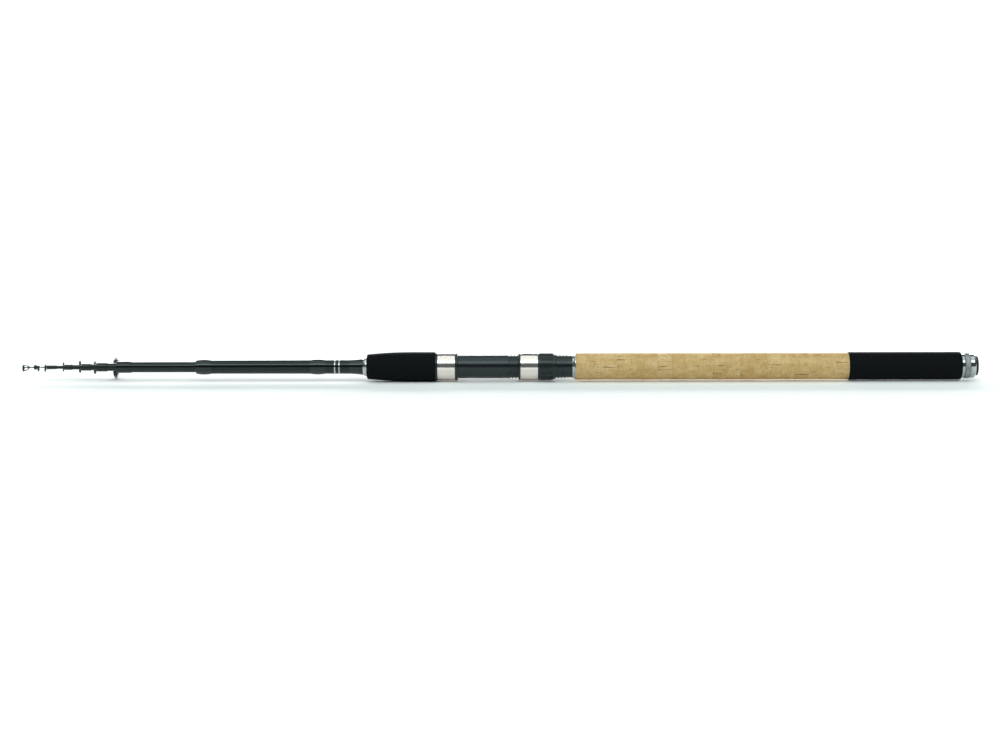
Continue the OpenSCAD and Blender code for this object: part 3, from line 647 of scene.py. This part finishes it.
def seat_thread():
    """Turns of thread, each from one side of the keyway round to the other."""
    low = start("reel_seat_body") + TAIL + 2.7
    flank, half, soft, sink = 0.18, 0.57, 0.1, 0.1
    outline = [(ROOT - sink, -half - flank), (CREST - 0.06, -half), (CREST, -half + soft),
               (CREST, half - soft), (CREST - 0.06, half), (ROOT - sink, half + flank)]
    key = math.asin(KEY_HALF / ROOT)
    arc, steps = ROUND - 2 * key, 90
    bm = bmesh.new()
    verts = [bm.verts.new((r, 0, low + z)) for r, z in outline]
    bmesh.ops.spin(bm, geom=[bm.faces.new(verts)], cent=(0, 0, 0), axis=(0, 0, 1),
                   dvec=(0, 0, PITCH * arc / ROUND / steps), angle=arc, steps=steps, use_merge=False)
    bmesh.ops.rotate(bm, cent=(0, 0, 0), matrix=Matrix.Rotation(math.pi + key, 3, "Z"), verts=bm.verts)
    first = bm.verts[:] + bm.edges[:] + bm.faces[:]
    for turn in range(1, int(THREAD / PITCH)):
        copied = bmesh.ops.duplicate(bm, geom=first)["geom"]
        bmesh.ops.translate(bm, vec=(0, 0, PITCH * turn), verts=only(bmesh.types.BMVert, copied))
    piece("seat_thread", bm, PLASTIC, "handle", slot="seat_plastic", sharp=40)


def pear(inset, big=12.7, small=10.2, offset=5.0):
    """Reach of a hood's outline: a circle joined with the arch over the reel foot."""
    def reach(angle):
        r = small - inset
        across = offset * math.sin(angle)
        out = big - inset
        if abs(across) < r:
            out = max(out, offset * math.cos(angle) + math.sqrt(r * r - across * across))
        return out
    return reach


def hood(node, name, body, closed_end, lip_end, bore, lip, collar):
    """A hood's moulding: closed end, band seat, lip and the pocket for the reel foot."""
    way = 1 if lip_end > closed_end else -1
    length = abs(lip_end - closed_end)
    skirt = 0.64
    pocket = pear(0, big=bore, small=8.3)
    pocket_floor = length - POCKET
    edge = min(lip * 0.45, 0.9)
    stations = [(bore, 0)]
    if collar:
        stations += [(pear(0.25), 0), (pear(0), 0.25), (pear(0), collar - 0.15), (pear(0.15), collar)]
    stations += [(pear(skirt), collar), (pear(skirt), length - lip), (pear(0.2), length - lip),
                 (pear(0.0), length - lip + 0.2)]
    for angle in quarter(5)[1:]:
        stations.append((pear(edge - edge * math.cos(angle)), length - edge + edge * math.sin(angle)))
    stations += [(pocket, length), (pocket, pocket_floor), (bore, pocket_floor - 0.02)]
    bm = bmesh.new()
    rings(bm, [(reach, closed_end + way * z) for reach, z in stations], 144)
    piece(name, bm, PLASTIC, body, node, slot="seat_plastic", sharp=32)


def band(node, name, body):
    """A hood's steel band, with softened rims."""
    low, high = start(node), end(node)
    thick, soft = 0.6, 0.22
    stations = [(pear(thick), low), (pear(soft), low), (pear(0.06), low + 0.08), (pear(0), low + soft),
                (pear(0), high - soft), (pear(0.06), high - 0.08), (pear(soft), high), (pear(thick), high)]
    bm = bmesh.new()
    rings(bm, stations, 144)
    piece(name, bm, BAND_STEEL, body, node, slot="hood_steel", sharp=50)


def nut_reach(r, depth):
    """Reach of the lock nut's grip: groups of four grooves around it."""
    groups, step, half = 12, math.radians(6.2), math.radians(1.5)

    def reach(angle):
        sector = ROUND / groups
        within = (angle + sector / 2) % sector - sector / 2
        nearest = min(max(round(within / step - 0.5), -2), 1) + 0.5
        gap = abs(within - nearest * step)
        if gap < half:
            return r - depth * math.cos(gap / half * math.pi / 2)
        return r
    return reach


def nut():
    node = "lock_nut"
    low, high = start(node), end(node)
    grip, shoulder = 12.6, 11.75
    ribs, collar = low + 2.5, high - 1.7
    depth = 0.45
    stations = [
        (SLIDING_BORE, low),
        (shoulder - 1.0, low),
        (shoulder - 0.55, low + 0.25),
        (shoulder - 0.25, low + 0.8),
        (shoulder - 0.05, low + 1.5),
        (shoulder, low + 2.1),
        (shoulder, ribs - 0.1),
        (nut_reach(grip - 0.35, 0.1), ribs),
        (nut_reach(grip - 0.08, depth), ribs + 0.3),
        (nut_reach(grip, depth), ribs + 1.2),
        (nut_reach(grip, depth), collar - 0.5),
        (nut_reach(grip - 0.04, depth * 0.6), collar - 0.15),
        (grip - 0.12, collar),
        (grip - 0.02, collar + 0.2),
        (grip - 0.02, high - 0.6),
        (grip - 0.15, high - 0.2),
        (grip - 0.5, high),
        (SLIDING_BORE, high),
    ]
    bm = bmesh.new()
    rings(bm, stations, 720)
    piece("nut", bm, PLASTIC, "lock_nut", node, slot="seat_plastic", sharp=30)


def trim_cone():
    node = "seat_trim_cone"
    low, high, wide = start(node), end(node), radius(node)
    lip, soft, step, hollow = 0.7, 0.12, 0.1, 0.1
    bm = bmesh.new()
    outline = [(SEAT_BORE, low), (wide - soft, low), (wide, low + soft), (wide, low + lip)]
    outline += bowed(wide - step, (wide + ROOT) / 2 - hollow, ROOT, low + lip + 0.05, high, 6)
    outline.append((SEAT_BORE, high))
    turned(bm, outline, steps=128)
    piece("trim_cone", bm, TRIM_METAL, "handle", node, slot="trim_metal")


seat_barrel()
seat_thread()
hood("fixed_hood", "fixed_hood_moulding", "handle", end("fixed_hood"), start("fixed_hood"),
     BARREL + GLUE, lip=2.4, collar=2.0)
hood("movable_hood", "movable_hood_moulding", "movable_hood", start("movable_hood"), end("movable_hood"),
     SLIDING_BORE, lip=1.7, collar=0)
band("fixed_hood_band", "fixed_hood_steel", "handle")
band("movable_hood_band", "movable_hood_steel", "movable_hood")
nut()
trim_cone()

# Butt cap: its smooth shell and its knurled band, one behind the other, on a screw

CAP_RADIUS = 11.25
KNURL_RADIUS = 11.55
SCREW_CREST = 5.6
SCREW_ROOT = 5.1
SCREW_PITCH = 1.5
SMOOTH_END = start("cap_body") + 5.7
BAND_END = SMOOTH_END + 4.7


def screw_thread(bm, low, high):
    """One ridge that winds up the cap's screw."""
    flat, foot, sink, steps = 0.12, 0.52, 0.1, 32
    profile = [(SCREW_ROOT - sink, -foot), (SCREW_CREST, -flat), (SCREW_CREST, flat),
               (SCREW_ROOT - sink, foot)]
    verts = [bm.verts.new((r, 0, low + z)) for r, z in profile]
    turns = int((high - low) / SCREW_PITCH)
    bmesh.ops.spin(bm, geom=[bm.faces.new(verts)], cent=(0, 0, 0), axis=(0, 0, 1),
                   dvec=(0, 0, SCREW_PITCH / steps), angle=ROUND * turns, steps=steps * turns,
                   use_merge=False)


def cap_shell():
    node = "cap_body"
    low, high = start(node), end(node)
    edge, neck = 2.5, CAP_RADIUS - 0.3
    socket, socket_depth = 4.05, 2.6
    hollow, hollow_depth = 3.1, 5.6
    bm = bmesh.new()
    outline = [(0, low + socket_depth), (socket, low + socket_depth), (socket, low)]
    outline += low_edge(CAP_RADIUS, low, edge, 8)
    outline += [(CAP_RADIUS, SMOOTH_END - 0.35), (neck, SMOOTH_END - 0.1), (neck, SMOOTH_END + 0.02)]
    outline += [(SCREW_CREST, SMOOTH_END + 0.02), (SCREW_CREST, BAND_END + 0.5),
                (SCREW_ROOT, BAND_END + 0.8), (SCREW_ROOT, high - 0.3), (SCREW_ROOT - 0.3, high),
                (hollow, high), (hollow, high - hollow_depth), (0, high - hollow_depth)]
    turned(bm, outline, steps=128, closed=False)
    screw_thread(bm, BAND_END + 1.4, high - 1.0)
    piece("cap_shell", bm, PLATE, "butt_cap", node, slot="cap_metal")


def knurl(r, depth, count, lead, height):
    """Reach of a diamond knurl at one height."""
    def reach(angle):
        one = abs((angle * count / ROUND + height / lead) % 1 - 0.5) * 2
        two = abs((angle * count / ROUND - height / lead) % 1 - 0.5) * 2
        return r - depth * (1 - min(one, two))
    return reach


def cap_grip():
    """The knurled band round the cap."""
    bore, rows, margin = SCREW_CREST + 0.02, 28, 0.3
    low = SMOOTH_END + 0.05
    stations = [(bore, low), (KNURL_RADIUS - 0.35, low), (KNURL_RADIUS - 0.1, SMOOTH_END + 0.25)]
    for k in range(rows + 1):
        z = SMOOTH_END + margin + (BAND_END - SMOOTH_END - 2 * margin) * k / rows
        stations.append((knurl(KNURL_RADIUS, 0.28, 56, 2.4, z), z))
    stations += [(KNURL_RADIUS - 0.1, BAND_END - 0.25), (KNURL_RADIUS - 0.35, BAND_END), (bore, BAND_END)]
    bm = bmesh.new()
    rings(bm, stations, 448)
    piece("cap_grip", bm, KNURL, "butt_cap", slot="cap_metal", sharp=60)


def cap_foot():
    """The black end of the cap, scalloped round its rim."""
    node = "cap_end"
    low, high = start(node), end(node)
    thick, r, bumps, bump = 2.06, 8.1, 24, 0.7
    spigot, pole, soft = 4.0, 0.02, 0.25

    def scallop(inset):
        def reach(angle):
            sector = ROUND / bumps
            within = (angle + sector / 2) % sector - sector / 2
            across = r * math.sin(within)
            out = r - inset
            if abs(across) < bump - inset:
                out = max(out, r * math.cos(within) + math.sqrt((bump - inset) ** 2 - across ** 2))
            return out
        return reach

    stations = [(pole, low), (scallop(soft), low), (scallop(0.05), low + 0.12), (scallop(0), low + soft),
                (scallop(0), low + thick), (spigot, low + thick), (spigot, high), (pole, high)]
    bm = bmesh.new()
    loops = rings(bm, stations, 360, closed=False)
    for loop in (loops[0], loops[-1]):
        bmesh.ops.contextual_create(bm, geom=loop)
    piece("cap_foot", bm, MOULDING, "butt_cap", node, slot="cap_black")


def insert_flange():
    node = "butt_insert"
    low, high, r = start(node), end(node), radius(node)
    flange, bore, outside = 2.5, 5.7, 6.5
    bm = bmesh.new()
    outline = rounded(bore, r, low, low + flange, 0.3)[:-1]
    outline += [(outside, low + flange), (outside, high), (bore, high)]
    turned(bm, outline, steps=128)
    piece("insert_flange", bm, PLATE, "handle", node, slot="cap_metal")


cap_shell()
cap_grip()
cap_foot()
insert_flange()

# Line guides. Sleeve is a length and wall its thickness, plate and hole are diameters, rise is the
# plate's height over the sleeve, lead its distance in front of the mouth; lean and turn are in degrees.

GUIDE_SIZES = {
    2: dict(sleeve=13.0, plate=19.8, hole=13.0, rise=1.9, lead=3.8, lean=0, turn=0, wall=0.50),
    3: dict(sleeve=9.0, plate=13.0, hole=8.4, rise=1.5, lead=2.8, lean=6, turn=0, wall=0.52),
    4: dict(sleeve=8.3, plate=12.8, hole=8.4, rise=1.4, lead=1.8, lean=10, turn=-5, wall=0.44),
    5: dict(sleeve=6.6, plate=9.2, hole=6.4, rise=1.1, lead=1.7, lean=8, turn=-5, wall=0.36),
    6: dict(sleeve=8.7, plate=7.2, hole=4.4, rise=0.9, lead=2.0, lean=6, turn=5, wall=0.34),
}
# Sheet thickness, shares of plate less hole that the rim and the ceramic take, and the tip's turn
SHEET = 0.65
RIM_SHARE = 0.22
INSERT_SHARE = 0.45
TIP_TURN = 12


def insert_radius(plate_d, hole_d):
    """Inner radius of a plate's rim, where the ceramic sits."""
    return plate_d / 2 - (plate_d - hole_d) * RIM_SHARE


def wear_ring(name, node, body, plate_d, hole_d, place, turn):
    """A guide's ceramic ring, half round towards the line."""
    length = (plate_d - hole_d) * INSERT_SHARE
    outer = insert_radius(plate_d, hole_d) - 0.1
    half = length / 2
    centre = hole_d / 2 + half
    points = [(outer, -half * 0.75), (outer, half * 0.75)]
    arc = 12
    for k in range(arc + 1):
        angle = math.pi / 2 + math.pi * k / arc
        points.append((min(centre + half * math.cos(angle), outer - 0.05), half * math.sin(angle)))
    bm = bmesh.new()
    turned(bm, points, steps=72, place=place)
    piece(name, bm, CERAMIC, body, node, slot="wear_ring", turn=turn, sharp=50)


def rim(bm, plate_d, hole_d, place):
    """The plate's flat ring, with rounded edges."""
    inner, outer, half = insert_radius(plate_d, hole_d), plate_d / 2, SHEET / 2
    soft = half * 0.8
    points = [(inner, -half), (outer - soft, -half), (outer - soft * 0.3, -half * 0.75), (outer, 0),
              (outer - soft * 0.3, half * 0.75), (outer - soft, half), (inner, half)]
    turned(bm, points, steps=72, place=place)


def mouth_radius(number):
    """Outer radius of a section at its mouth."""
    node = f"section_{number}_blank"
    front = end(node) - 0.01
    return max(math.hypot(v.co.y, v.co.z) / MM for v in nodes[node].data.vertices if v.co.x / MM > front)


def sleeve(bm, bore, wall, r, low, mouth):
    """A guide's sleeve on its section, with a bead of lacquer behind it and a rounded front."""
    nose = wall * 0.85
    bead = min(1.0, (mouth - low) * 0.11)
    outline = [(bore, low - bead), (bore + 0.02, low - bead)]
    for k, angle in enumerate(quarter(4)[1:], 1):
        outline.append((bore + wall * 0.75 * math.sin(angle), low - bead + bead * 0.85 * k / 4))
    outline += [(r - wall * 0.6, low - 0.04), (r - 0.12, low + 0.02), (r, low + 0.16)]
    outline += high_edge(r, mouth, nose, 5)
    outline.append((bore, mouth))
    turned(bm, outline, steps=72)


def bracket(bm, size, r, standoff, at_plate, mouth):
    """The sheet under a guide's ring: an apron across it, and a wing down each side of the sleeve."""
    plate_d, hole_d, lead, lean = size["plate"], size["hole"], size["lead"], math.radians(size["lean"])
    wing_y = r * 0.8
    half_width = wing_y + SHEET / 2
    root = r * 0.92
    apron_top = standoff - insert_radius(plate_d, hole_d) + 0.12 * (plate_d - hole_d) / 4
    top_width = half_width * 0.92
    plate(bm, [(root, -half_width), (apron_top, -top_width), (apron_top, top_width), (root, half_width)],
          SHEET * 0.98, at_plate, soften=0.06)
    wing_top = standoff - math.sqrt(plate_d ** 2 / 4 - wing_y ** 2) + SHEET
    heel = -lead - size["sleeve"] * 0.6
    low_x = math.sqrt(max(r * r - half_width ** 2, 0.01)) * 0.8
    side = Matrix(((1, 0, 0, 0), (0, 0, -1, 0), (0, 1, 0, 0), (0, 0, 0, 1)))
    wing = [(low_x, heel), (r * 0.6, heel), (wing_top * math.cos(lean), wing_top * math.sin(lean)),
            (low_x, 0.0)]
    for sign in (-1, 1):
        place = Matrix.Translation((0, sign * wing_y, mouth + lead)) @ side
        plate(bm, wing, SHEET, place, soften=0.12)


def guide(number):
    size = GUIDE_SIZES[number]
    body = f"section_{number}"
    mouth = end(f"section_{number}_blank")
    bore = mouth_radius(number) + FILM
    r = mouth_radius(number) + GLUE + size["wall"]
    standoff = r + size["rise"] + size["plate"] / 2
    lean = Matrix.Rotation(-math.radians(size["lean"]), 4, "Y")
    at_plate = Matrix.Translation((0, 0, mouth + size["lead"])) @ lean
    at_ring = at_plate @ Matrix.Translation((standoff, 0, 0))
    bm = bmesh.new()
    sleeve(bm, bore, size["wall"], r, mouth - size["sleeve"], mouth)
    rim(bm, size["plate"], size["hole"], at_ring)
    bracket(bm, size, r, standoff, at_plate, mouth)
    piece(f"guide_{number}_sheet", bm, COATING, body, f"guide_{number}_frame", slot="guide_frame",
          turn=size["turn"], sharp=40)
    wear_ring(f"guide_{number}_insert", f"guide_{number}_ring", body, size["plate"], size["hole"],
              at_ring, size["turn"])


def tip_top():
    """The end ring, on a short tube with two bowed legs and a web between them."""
    plate_d, hole_d, tube_r, leg_w, leg_len, leg_half = 6.6, 4.0, 0.5, 0.55, 7.0, 0.3
    standoff = plate_d / 2
    front = end("tip_top_frame") - SHEET / 2
    rear = start("tip_top_frame")
    at_ring = Matrix.Translation((standoff, 0, front))
    bore, bore_end = 0.37, front - 2.0
    bm = bmesh.new()
    turned(bm, [(0, front), (tube_r, front), (tube_r, rear + 0.05), (tube_r - 0.05, rear), (bore, rear),
                (bore, bore_end), (0, bore_end)], steps=32, closed=False)
    rim(bm, plate_d, hole_d, at_ring)
    slope = math.atan2(standoff, leg_len)
    reach = math.hypot(standoff, leg_len)
    width = plate_d - SHEET
    outer, inner = width / 2, width / 2 - leg_w
    bow = (reach * reach + width * width / 4) / width
    past_axis = 0.006
    place = at_ring @ Matrix.Rotation(slope - math.pi / 2, 4, "Y")
    for sign in (-1, 1):
        corners = [(inner, -leg_half), (outer, -leg_half), (outer, leg_half), (inner, leg_half)]
        verts = [bm.verts.new((0, sign * y, z)) for y, z in corners]
        bmesh.ops.spin(bm, geom=[bm.faces.new(verts)], cent=(0, sign * (outer - bow), 0), axis=(0, 0, sign),
                       dvec=(0, 0, 0), angle=math.asin(reach / bow) + past_axis, steps=16, use_merge=False)
        bmesh.ops.transform(bm, matrix=place, verts=joined(verts))
    web, web_thick, point = 3.0, 0.45, 0.02
    half = outer - bow + math.sqrt(bow * bow - (reach - web) ** 2)
    plate(bm, [(-reach, point), (-reach, -point), (-reach + web, -half), (-reach + web * 0.75, 0),
               (-reach + web, half)], web_thick, place)
    piece("tip_top_sheet", bm, COATING, "tip", "tip_top_frame", slot="guide_frame", turn=TIP_TURN, sharp=40)
    wear_ring("tip_top_insert", "tip_top_ring", "tip", plate_d, hole_d, at_ring, TIP_TURN)


def floating_guide():
    """The ring that slides on the tip: plate and hub, and a grooved bush with a domed front."""
    plate_d, hole_d, hub_r, collar_r, bore = 5.8, 3.3, 1.5, 2.3, 0.75
    hub_low, hub_high = start("floating_guide_frame"), end("floating_guide_frame")
    collar_high = end("floating_guide_bush")
    plate_height = (start("floating_guide_ring") + end("floating_guide_ring")) / 2
    standoff = hub_r + SHEET / 2 + plate_d / 2
    at_ring = Matrix.Translation((standoff, 0, plate_height))
    liner = (bore + hub_r) / 2
    bm = bmesh.new()
    turned(bm, rounded(liner + GLUE, hub_r, hub_low, hub_high, 0.2), steps=48)
    rim(bm, plate_d, hole_d, at_ring)
    root, root_half = liner + 0.3, hub_r * 0.6
    top, top_half = standoff - insert_radius(plate_d, hole_d) + 0.02, root_half * 1.5
    plate(bm, [(root, -root_half), (top, -top_half), (top, top_half), (root, root_half)],
          SHEET * 0.96, Matrix.Translation((0, 0, plate_height)))
    piece("floating_guide_sheet", bm, COATING, "floating_guide", "floating_guide_frame",
          slot="guide_frame", turn=TIP_TURN, sharp=40)
    wear_ring("floating_guide_insert", "floating_guide_ring", "floating_guide", plate_d, hole_d, at_ring,
              TIP_TURN)
    base = hub_high + GLUE
    groove, soft = base + 1.25, 0.15
    dome, dome_r = groove + soft, collar_r - 0.02
    outline = [(bore, hub_low), (liner, hub_low), (liner, base), (collar_r - soft, base),
               (collar_r, base + soft), (collar_r, groove - soft), (collar_r - 0.16, groove),
               (dome_r, dome)]
    for angle in quarter(8)[1:7]:
        outline.append((dome_r * math.cos(angle) ** 0.8, dome + (collar_high - dome) * math.sin(angle)))
    outline += [(bore + 0.1, collar_high), (bore, collar_high - 0.1)]
    bm = bmesh.new()
    turned(bm, outline, steps=64)
    piece("floating_bush", bm, MOULDING, "floating_guide", "floating_guide_bush", slot="bush_plastic",
          turn=TIP_TURN)


def tick_ring():
    """A thin silver ring painted on the tip, just behind its sliding guide."""
    low = start("floating_guide_frame") - 1.3
    high = low + 0.45
    tip_r, ring_r, soft = 0.5, 0.535, 0.03
    bm = bmesh.new()
    turned(bm, [(tip_r, low), (ring_r, low + soft), (ring_r, high - soft), (tip_r, high)], steps=32)
    piece("tick_ring", bm, TRIM_METAL, "tip", slot="trim_metal")


for k in GUIDE_SIZES:
    guide(k)
tip_top()
floating_guide()
tick_ring()

# Pieces of the frame that stay as they are
for name, finish in {"reel_seat_arbors": ARBOR, "section_buffer": BUFFER}.items():
    nodes[name].data.materials.clear()
    nodes[name].data.materials.append(finish)

# Floor, light and camera

floor_height = -radius("foregrip") * MM
middle = cad_box[0].x + (cad_box[1].x - cad_box[0].x) / 2


def studio_floor():
    """A wide pale sheet under the rod, which brightens away from it and bends up far behind it."""
    finish = Finish("pale_floor", roughness=0.9, specular=0.1)
    grain = finish.noise(3, detail=1)
    finish.colour(finish.ramp(grain, (0.3, shade("f4f6f6")), (0.7, shade("f8f9f9"))))
    axes = finish.axes()
    along = finish.maths("SUBTRACT", axes["X"], middle)
    across = finish.maths("MULTIPLY", axes["Y"], axes["Y"])
    away = finish.maths("SQRT", finish.maths("ADD", finish.maths("MULTIPLY", along, along), across))
    glow = finish.ramp(finish.maths("DIVIDE", away, 4.0), (0.025, grey(0)), (0.22, grey(0.15)),
                       (0.6, grey(1)))
    finish.links.new(glow, finish.shader.inputs["Emission Color"])
    finish.shader.inputs["Emission Strength"].default_value = 1.0
    front, depth, bend, height, width = 40.0, 30.0, 4.0, 8.0, 40.0
    path = [(front, 0.0), (-depth, 0.0)]
    for angle in quarter(12)[1:]:
        path.append((-depth - bend * math.sin(angle), bend - bend * math.cos(angle)))
    path.append((-depth - bend, height))
    bm = bmesh.new()
    verts = [bm.verts.new((middle - width, y, floor_height + z)) for y, z in path]
    edges = [bm.edges.new(pair) for pair in zip(verts, verts[1:])]
    grown = bmesh.ops.extrude_edge_only(bm, edges=edges)["geom"]
    bmesh.ops.translate(bm, vec=(2 * width, 0, 0), verts=only(bmesh.types.BMVert, grown))
    bmesh.ops.recalc_face_normals(bm, faces=bm.faces)
    for face in bm.faces:
        face.smooth = True
    mesh = bpy.data.meshes.new("studio_floor")
    bm.to_mesh(mesh)
    bm.free()
    mesh.materials.append(finish.material)
    floor = bpy.data.objects.new("studio_floor", mesh)
    bpy.context.scene.collection.objects.link(floor)


def soft_box(name, place, aim, size, power, tint=(1, 1, 1)):
    """A rectangular lamp that faces the aimed point."""
    light = bpy.data.lights.new(name, "AREA")
    light.color = tint
    light.shape = "RECTANGLE"
    light.size, light.size_y = size
    light.energy = power
    lamp = bpy.data.objects.new(name, light)
    lamp.location = place
    lamp.rotation_euler = (Vector(aim) - Vector(place)).to_track_quat("-Z", "Y").to_euler()
    bpy.context.scene.collection.objects.link(lamp)


studio_floor()
soft_box("overhead_box", (middle, 0.13, 1.5), (middle, 0.13, 0), (3.4, 1.5), 17, (0.92, 1.0, 0.985))
soft_box("front_box", (middle, 1.41, 1.69), (middle, 0, 0), (3.4, 0.8), 27, (0.94, 1.0, 0.985))
soft_box("rear_box", (middle, -1.9, 0.74), (middle, 0, 0), (3.6, 0.66), 60)

world = bpy.data.worlds.new("studio")
world.use_nodes = True
world.node_tree.nodes["Background"].inputs["Color"].default_value = (0.78, 0.97, 0.96, 1)
world.node_tree.nodes["Background"].inputs["Strength"].default_value = 0.12
bpy.context.scene.world = world
bpy.context.scene.view_settings.view_transform = "Standard"

view_distance = 2.0476
view_centre = middle - 0.001
view_elevation = ROLL - math.radians(2.3)
view_tilt = math.radians(0.1)
camera_data = bpy.data.cameras.new("camera")
camera_data.lens = 80
camera_data.sensor_width = 36
camera_data.clip_end = 100
camera_data.shift_y = -0.0085
camera = bpy.data.objects.new("camera", camera_data)
camera.location = (view_centre, view_distance * math.cos(view_elevation),
                   view_distance * math.sin(view_elevation))
camera.rotation_euler = (math.pi / 2 - view_elevation, view_tilt, math.pi)
bpy.context.scene.collection.objects.link(camera)
bpy.context.scene.camera = camera
